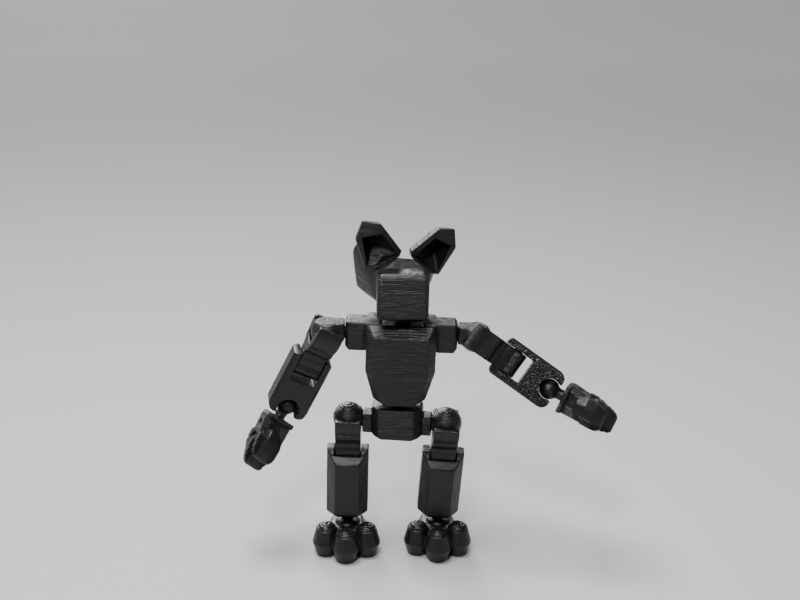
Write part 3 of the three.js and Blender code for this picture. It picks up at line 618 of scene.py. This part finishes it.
def ear_outer(grow=1.0, growy=1.0, k=0.5):
    pts = ear_rings(1, 0, 0, ear_front) + ear_rings(0.97, 0, -0.2, lambda x: 6.0) + ear_rings(0.68, -0.1, -1.2, lambda x: 11.0)
    if grow != 1.0:
        pts = [(EX + (x - EX) * grow, 6 + (y - 6) * growy, EZ - HD + (z - (EZ - HD)) * grow) for x, y, z in pts]
    return solid(pts, k)


def ear():
    outer = ear_outer(k=0.3)
    # the cup is a skewed notch: a wide outer wall and a steep inner one meet in a slanting crease
    mouth = [(9.0, 24.0), (15.2, 21.6), (12.0, 12.2), (9.7, 12.6), (2.9, 17.3)]
    inner = solid([(x, y, z - HD) for y in (-1, 3.4) for x, z in mouth] + [(11.4, 8.6, 20.2 - HD), (10.4, 8.4, 18.6 - HD), (7.2, 5.2, 15.4 - HD)], 0.25)

    def f(x, y, z):
        return cutaway(outer(x, y, layered(z)), inner(x, y, z), k=0.3)

    return f


def skull():
    crown = solid(both([(7.4, -4.5, 0.6), (7.8, -4.5, 14.0), (3.0, 1, 16.7), (8.6, 2, 13.4), (5.5, 12, 13.0), (6, 19, 10.5), (6, 18, 0.5), (6.5, 9, -1.4), (7.2, -3.0, -0.4), (9.5, 3, 9)]), 0.7)
    cheek = solid([(x, y, z - HD) for x, y, z in [(8.4, 2, 13.2), (9.5, 3, 9), (7.2, -2, 1), (14.6, 12, 18.2), (15.6, 14, 14), (14.4, 14, 9), (13.5, 14, 4.5), (12.5, 14, 1.2), (9, 13, 0), (13, 19, 10.5), (11, 19, 4), (6, 18, 0.5), (5.5, 12, 12.6), (6, 19, 10.5), (6.5, 9, -1.0)]], 0.8)
    socket = ballf(4.4, 0.75, 0, -1.1)
    grown = ear_outer(1.05, 1.08, 0.2)
    mz = muzzle_solid(0.3, 0.2)
    a = np.array(FRAMES["head"], float)
    b = np.array(FRAMES["muzzle"], float)
    A = np.vstack([a, [0, 0, 0, 1]])
    B = np.vstack([b, [0, 0, 0, 1]])
    T = np.linalg.inv(B) @ A

    def f(x, y, z):
        ax = np.abs(x)
        out = smin(crown(x, y, z), cheek(ax, y, z), 0.5)
        r = np.sqrt((x - 0.75) ** 2 + y * y)
        cone = smax(r - (6.0 - 2.4 * (z + 5.8) / 3.4), np.maximum(-7 - z, z + 2.4), 0)
        out = cutaway(out, socket(x, y, z), cone, k=0.4)
        out = cutaway(out, grown(ax, y, z), k=0.2)
        u = [T[i, 0] * x + T[i, 1] * y + T[i, 2] * z + T[i, 3] for i in range(3)]
        return cutaway(out, mz(*u), k=0.2)

    return f


make_mesh("side_stud_shoulder", side_stud(-5.9, True), (-11.2, -5.5, -5.5), (5.6, 5.5, 4.4), 0.19)
make_mesh("side_stud_hip", side_stud(-4.8, False), (-10.1, -5.5, -5.52), (5.6, 5.5, 5.5), (0.2, 0.2, LAYER / 3), 0)
make_mesh("spine_stud_waist", spine_stud(-5.7), (-4.2, -4.2, -11), (4.2, 4.2, 4.2), 0.2)
make_mesh("spine_stud_neck", spine_stud(-7.4), (-4.2, -4.2, -12.6), (4.2, 4.2, 4.2), 0.2)
make_mesh("pin", pin, (-6, -1.6, -1.6), (6, 1.6, 1.6), 0.15)
make_mesh("arm_bar", bar(28, 9), (-4.5, -7.8, -18.8), (4.5, 7.8, 4.0), 0.2)
make_mesh("leg_bar", bar(7, 7), (-4.5, -7.8, -18.8), (4.5, 7.8, 1.4), 0.2)
make_mesh("forearm_grained", forearm(True), (-7.4, -4.6, -18.6), (7.4, 4.5, 5.0), (0.18, 0.2, 0.18))
make_mesh("forearm_plain", forearm(False), (-7.4, -4.5, -18.6), (7.4, 4.5, 5.0), 0.2)
make_mesh("shin", shin(), (-7.5, -6.7, -21.6), (7.5, 6.7, 4.2), 0.22)
make_mesh("foot", foot(), (-12.2, -15.9, -15.6), (12.2, 9.8, 3.6), (0.22, 0.22, (-6.12, 0.18, 0.09)), 0)
make_mesh("hand", hand(), (-6.24, -8.6, -25.8), (5.8, 8.6, 3.6), (LAYER / 3, 0.24, 0.24), 0)
make_mesh("pelvis", pelvis(), (-12.1, -6.4, -5.4), (12.1, 6.4, 6.5), 0.22)
make_mesh("torso", torso(), (-19.2, -9.3, -4.0), (19.2, 8.3, 25.4), 0.26)
make_mesh("head", skull(), (-16.2, -4.9, -6.2), (16.2, 19.5, 15.5), 0.25)
make_mesh("muzzle", muzzle(), (-8.8, -10.9, -3.6), (8.8, -3.9, 13.5), 0.2)
make_mesh("ear", ear(), (1.2, 1.2, 7.44), (17.6, 11.4, 24.6), (0.24, 0.24, LAYER / 2), 0)


# ---- looks ----------------------------------------------------------------------------------------------------
class Nodes:
    def __init__(self, name):
        self.mat = bpy.data.materials.new(name)
        self.mat.use_nodes = True
        self.tree = self.mat.node_tree
        self.tree.nodes.clear()

    def new(self, kind, **values):
        n = self.tree.nodes.new(kind)
        for k, v in values.items():
            if hasattr(n, k) and k not in n.inputs:
                setattr(n, k, v)
        return n

    def link(self, a, b):
        self.tree.links.new(a, b)

    def math(self, op, a, b=None, c=None, clamp=False):
        n = self.tree.nodes.new("ShaderNodeMath")
        n.operation = op
        n.use_clamp = clamp
        for i, v in enumerate((a, b, c)):
            if v is None:
                continue
            if isinstance(v, (int, float)):
                n.inputs[i].default_value = v
            else:
                self.link(v, n.inputs[i])
        return n.outputs[0]

    def scaled(self, vec, sx, sy, sz):
        n = self.tree.nodes.new("ShaderNodeVectorMath")
        n.operation = "MULTIPLY"
        self.link(vec, n.inputs[0])
        n.inputs[1].default_value = (sx, sy, sz)
        return n.outputs[0]

    def noise(self, vec, scale, detail=3.0, rough=0.55, distortion=0.0):
        n = self.tree.nodes.new("ShaderNodeTexNoise")
        self.link(vec, n.inputs["Vector"])
        n.inputs["Scale"].default_value = scale
        n.inputs["Detail"].default_value = detail
        n.inputs["Roughness"].default_value = rough
        n.inputs["Distortion"].default_value = distortion
        return n.outputs["Fac"]

    def ramp(self, fac, lo, hi, a, b):
        n = self.tree.nodes.new("ShaderNodeMapRange")
        self.link(fac, n.inputs["Value"])
        n.inputs["From Min"].default_value = lo
        n.inputs["From Max"].default_value = hi
        n.inputs["To Min"].default_value = a
        n.inputs["To Max"].default_value = b
        return n.outputs["Result"]


def plastic(name, axis="z", lines=1.0, grain=1.0, tone=1.0, rough=0.5, bed=None, crest=None):
    """satin black printed plastic; its layers are stacked along the piece's own axis"""
    s = Nodes(name)
    co = s.tree.nodes.new("ShaderNodeTexCoord").outputs["Object"]
    mm = s.scaled(co, 1000, 1000, 1000)
    sep = s.tree.nodes.new("ShaderNodeSeparateXYZ")
    s.link(mm, sep.inputs[0])
    up = sep.outputs["XYZ".index(axis.upper())]
    # each layer's height wanders a little along its length
    flat = {"x": (2.0, 0.06, 0.06), "y": (0.06, 2.0, 0.06), "z": (0.06, 0.06, 2.0)}[axis]
    along = s.scaled(mm, *flat)
    bands = s.noise(along, 1.3, 4.0, 0.7)
    coarse = s.noise(s.scaled(mm, *[v * (0.35 if v > 1 else 1.0) for v in flat]), 1.0, 3.0, 0.6)
    wander = s.noise(mm, 0.35, 2.0, 0.5)
    phase = s.math("MULTIPLY", s.math("ADD", up, s.math("MULTIPLY", wander, 0.09)), 2 * math.pi / LAYER)
    wave = s.math("SINE", phase)
    fine = s.noise(mm, 7.0, 3.0, 0.6)
    speck = s.noise(mm, 2.4, 2.0, 0.5)
    blotch = s.noise(mm, 0.22, 3.0, 0.5)
    # paint
    tint = s.tree.nodes.new("ShaderNodeMixRGB")
    tint.blend_type = "MIX"
    tint.inputs[1].default_value = (0.0026 * tone, 0.0028 * tone, 0.0025 * tone, 1)
    tint.inputs[2].default_value = (0.0070 * tone, 0.0072 * tone, 0.0065 * tone, 1)
    mix = s.math("ADD", s.math("MULTIPLY", blotch, 0.45), s.math("ADD", s.math("MULTIPLY", bands, 0.35), s.math("MULTIPLY", fine, 0.25)))
    s.link(s.ramp(mix, 0.32, 0.72, 0.0, 1.0), tint.inputs[0])
    # roughness
    r = s.math("ADD", s.math("MULTIPLY", s.math("SUBTRACT", bands, 0.5), 0.22), s.math("MULTIPLY", s.math("SUBTRACT", speck, 0.5), 0.18))
    r = s.math("ADD", r, s.math("MULTIPLY", s.math("SUBTRACT", blotch, 0.5), 0.16))
    r = s.math("ADD", r, rough)
    # height, in millimetres
    ridge = s.math("SINE", s.math("MULTIPLY", s.math("ADD", up, s.math("MULTIPLY", wander, 0.35)), 2 * math.pi / 0.66))
    ridge = s.math("MULTIPLY", ridge, s.ramp(coarse, 0.3, 0.7, 0.25, 1.25))
    h = s.math("ADD", s.math("MULTIPLY", wave, 0.010 * lines), s.math("MULTIPLY", ridge, 0.034 * lines))
    h = s.math("ADD", h, s.math("MULTIPLY", bands, 0.16 * lines))
    h = s.math("ADD", h, s.math("MULTIPLY", coarse, 0.20 * lines))
    # slow unevenness of broad faces
    h = s.math("ADD", h, s.math("MULTIPLY", s.noise(s.scaled(mm, *[0.5 if v > 1 else 0.14 for v in flat]), 1.0, 2.0, 0.5), 0.55 * lines))
    if crest:
        # the terraces of sloping tops: (where they start along the axis, height in mm, on both ends, spacing, run-in)
        top = s.ramp(s.math("ABSOLUTE", up) if crest[2] else up, crest[0], crest[0] + crest[4], 0.0, 1.0)
        h = s.math("ADD", h, s.math("MULTIPLY", s.math("MULTIPLY", s.math("SINE", s.math("MULTIPLY", up, 2 * math.pi / crest[3])), top), crest[1]))
    h = s.math("ADD", h, s.math("MULTIPLY", fine, 0.022 * grain))
    h = s.math("ADD", h, s.math("MULTIPLY", speck, 0.035 * grain))
    if bed:
        # the pebbled face that lay on the print bed: (axis, sign, height in mm, amount)
        where = s.math("MULTIPLY", sep.outputs["XYZ".index(bed[0].upper())], float(bed[1]))
        mask = s.ramp(where, bed[2] - 0.25, bed[2] + 0.0, 0.0, 1.0)
        grit = s.noise(mm, 0.72, 1.0, 0.5, 0.8)
        grit = s.ramp(s.math("ABSOLUTE", s.math("SUBTRACT", grit, 0.5)), 0.0, 0.14, 1.0, 0.0)
        h = s.math("ADD", s.math("MULTIPLY", h, s.math("SUBTRACT", 1.0, s.math("MULTIPLY", mask, 0.7))), s.math("MULTIPLY", s.math("MULTIPLY", grit, mask), bed[3]))
    bump = s.tree.nodes.new("ShaderNodeBump")
    bump.inputs["Strength"].default_value = 1.0
    bump.inputs["Distance"].default_value = 0.001
    s.link(h, bump.inputs["Height"])
    b = s.tree.nodes.new("ShaderNodeBsdfPrincipled")
    s.link(tint.outputs[0], b.inputs["Base Color"])
    s.link(r, b.inputs["Roughness"])
    s.link(bump.outputs["Normal"], b.inputs["Normal"])
    b.inputs["IOR"].default_value = 1.5
    b.inputs["Specular IOR Level"].default_value = 0.36
    out = s.tree.nodes.new("ShaderNodeOutputMaterial")
    s.link(b.outputs[0], out.inputs[0])
    return s.mat


body_mat = plastic("printed_body", "z", 1.0, 1.0, 1.0, 0.38)
pelvis_mat = plastic("printed_pelvis", "z", 1.6, 1.0, 1.2, 0.36)
limb_mat = plastic("printed_limb", "y", 0.5, 1.0, 0.95, 0.38)
grained_mat = plastic("printed_limb_bed_side", "y", 0.5, 1.0, 1.5, 0.32, ("y", -1, 4.0, 0.42))
bar_mat = plastic("printed_bar", "x", 0.5, 0.8, 0.95, 0.36)
foot_mat = plastic("printed_foot", "z", 0.35, 1.0, 1.0, 0.34, None, (-6.0, 0.13, False, 0.48, 0.8))
hand_mat = plastic("printed_hand", "x", 0.35, 1.0, 1.0, 0.36, None, (1.8, 0.10, True, 0.48, 0.6))
stud_mat = plastic("printed_stud", "z", 0.6, 1.0, 1.1, 0.36, None, (2.0, 0.06, True, 0.48, 0.5))
shoulder_mat = plastic("printed_stud_bed_side", "z", 0.5, 1.0, 1.2, 0.4, ("z", 1, 3.9, 0.16))
head_mat = plastic("printed_head", "z", 1.0, 1.0, 1.0, 0.38)
muzzle_mat = plastic("printed_muzzle", "z", 1.8, 1.0, 1.0, 0.36)
ear_mat = plastic("printed_ear", "z", 0.7, 1.2, 1.0, 0.4)
pin_mat = plastic("printed_pin", "x", 0.5, 1.0, 1.1, 0.45)

BODY = {n: b for b, ns in frame["record"]["behaviour"]["bodies"].items() for n in ns}


def put(name, shape, material, thin=0.4, mirror=False, facets=False):
    return build(name + "_made", name, BODY[name], shape, material, thin, mirror, facets)


put("pelvis", "pelvis", pelvis_mat)
put("torso", "torso", body_mat)
put("waist_stud", "spine_stud_waist", stud_mat)
put("neck_stud", "spine_stud_neck", stud_mat)
put("head", "head", head_mat)
put("muzzle", "muzzle", muzzle_mat)
put("ear_left", "ear", ear_mat, 0.7, facets=True)
put("ear_right", "ear", ear_mat, 0.7, mirror=True, facets=True)
for side in ("left", "right"):
    m = side == "right"
    put(f"shoulder_stud_{side}", "side_stud_shoulder", shoulder_mat, mirror=m)
    put(f"upper_arm_{side}", "arm_bar", bar_mat)
    put(f"forearm_{side}", "forearm_grained" if side == "left" else "forearm_plain", grained_mat if side == "left" else limb_mat)
    put(f"elbow_pin_{side}", "pin", pin_mat)
    put(f"hand_{side}", "hand", hand_mat, 0.6, mirror=m, facets=True)
    put(f"hip_stud_{side}", "side_stud_hip", stud_mat, 0.65, mirror=m, facets=True)
    put(f"thigh_{side}", "leg_bar", bar_mat)
    put(f"shin_{side}", "shin", limb_mat)
    put(f"knee_pin_{side}", "pin", pin_mat)
    put(f"foot_{side}", "foot", foot_mat, 0.65, mirror=m, facets=True)


# ---- floor, light and camera ------------------------------------------------------------------------------------
def floor_mesh():
    me = bpy.data.meshes.new("floor")
    n, half = 24, 3.0
    vs = [(-half + 2 * half * i / n, -half + 2 * half * j / n, -0.00005) for j in range(n + 1) for i in range(n + 1)]
    fs = [(j * (n + 1) + i, j * (n + 1) + i + 1, (j + 1) * (n + 1) + i + 1, (j + 1) * (n + 1) + i) for j in range(n) for i in range(n)]
    me.from_pydata(vs, [], fs)
    ob = bpy.data.objects.new("floor", me)
    bpy.context.scene.collection.objects.link(ob)
    s = Nodes("floor")
    b = s.tree.nodes.new("ShaderNodeBsdfPrincipled")
    b.inputs["Base Color"].default_value = (0.385, 0.37, 0.37, 1)
    b.inputs["Roughness"].default_value = 0.8
    b.inputs["Specular IOR Level"].default_value = 0.2
    # keeps the far floor as pale as the near floor
    away = s.tree.nodes.new("ShaderNodeVectorMath")
    away.operation = "LENGTH"
    s.link(s.tree.nodes.new("ShaderNodeTexCoord").outputs["Object"], away.inputs[0])
    b.inputs["Emission Color"].default_value = (1.0, 0.97, 0.97, 1)
    s.link(s.ramp(away.outputs["Value"], 0.3, 1.3, 0.0, 0.16), b.inputs["Emission Strength"])
    out = s.tree.nodes.new("ShaderNodeOutputMaterial")
    s.link(b.outputs[0], out.inputs[0])
    me.materials.append(s.mat)


floor_mesh()

world = bpy.data.worlds.new("world")
bpy.context.scene.world = world
world.use_nodes = True
world.node_tree.nodes["Background"].inputs[0].default_value = (1.0, 0.99, 0.98, 1)
world.node_tree.nodes["Background"].inputs[1].default_value = 0.13


def area(name, place, target, size, power, color=(1, 1, 1)):
    light = bpy.data.lights.new(name, "AREA")
    light.shape = "RECTANGLE"
    light.size, light.size_y = size
    light.energy = power
    light.color = color
    ob = bpy.data.objects.new(name, light)
    bpy.context.scene.collection.objects.link(ob)
    ob.location = place
    ob.rotation_euler = (Vector(target) - Vector(place)).to_track_quat("-Z", "Y").to_euler()
    return ob


area("above", (-0.10, 0.0, 0.62), (0, 0, 0.05), (0.28, 0.28), 7.6)
# a wide soft light low behind the figure, even over the whole floor
low = bpy.data.lights.new("behind", "SUN")
low.energy = 2.8
low.angle = math.radians(28)
low_ob = bpy.data.objects.new("behind", low)
bpy.context.scene.collection.objects.link(low_ob)
low_ob.rotation_euler = Vector((0.24, -0.86, -0.45)).to_track_quat("-Z", "Y").to_euler()
area("left", (-0.70, 0.05, 0.35), (0, 0, 0.07), (0.30, 0.40), 0.8, (1.0, 0.985, 0.97))
area("front", (-0.12, -0.52, 0.72), (0, 0, 0.07), (0.16, 0.16), 5.0)

aim = Vector((AIM[0] / 1000, AIM[1] / 1000, AIM[2] / 1000))
a20, roll = math.radians(20), math.radians(0.9)
look = Vector((0, math.cos(a20), -math.sin(a20)))
r0, u0 = Vector((1, 0, 0)), Vector((0, math.sin(a20), math.cos(a20)))
right = math.cos(roll) * r0 + math.sin(roll) * u0
up = -math.sin(roll) * r0 + math.cos(roll) * u0
cam_data = bpy.data.cameras.new("camera")
cam_data.lens = 51.75
cam_data.sensor_width = 36
cam_data.clip_start = 0.01
cam_data.clip_end = 50
cam = bpy.data.objects.new("camera", cam_data)
bpy.context.scene.collection.objects.link(cam)
rot = Matrix((right, up, -look)).transposed().to_4x4()
cam.matrix_world = Matrix.Translation(aim - look * 0.383333) @ rot
bpy.context.scene.camera = cam
